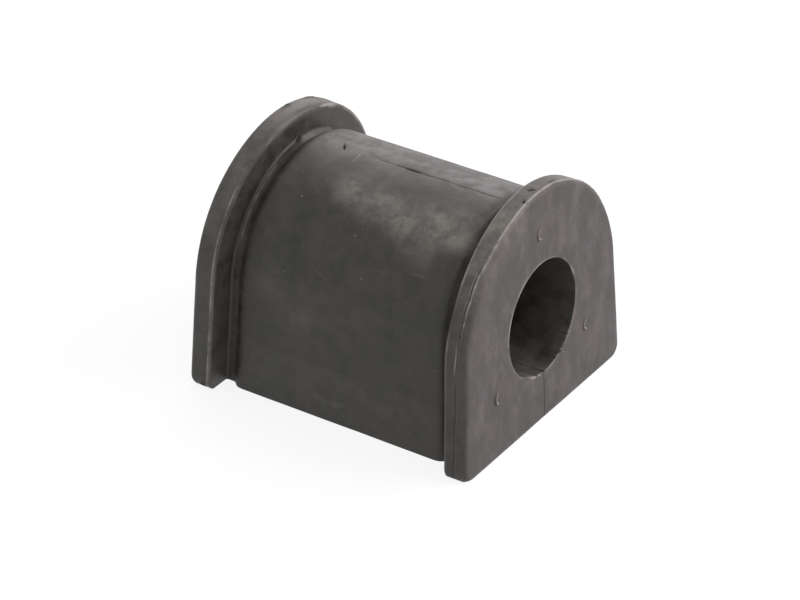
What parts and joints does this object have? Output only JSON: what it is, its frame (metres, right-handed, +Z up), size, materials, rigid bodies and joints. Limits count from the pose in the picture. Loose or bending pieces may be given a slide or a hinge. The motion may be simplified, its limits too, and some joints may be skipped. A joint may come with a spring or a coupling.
{
  "type": "sway bar bushing",
  "caption": "Moulded rubber arch bushing with a flat base, a flange at each end and a slit bore that grips a sway bar inside its bracket.",
  "frame": {"origin": "centre of the bar bore, half way along it", "axes": "+Y along the bar bore, +Z up from the flat base towards the crown of the arch, +X across"},
  "size_m": [0.0526, 0.0594, 0.0454],
  "materials": {
    "rubber": "matte moulded rubber"
  },
  "bodies": {
    "root": {"bushing": "rubber"}
  },
  "joints": []
}
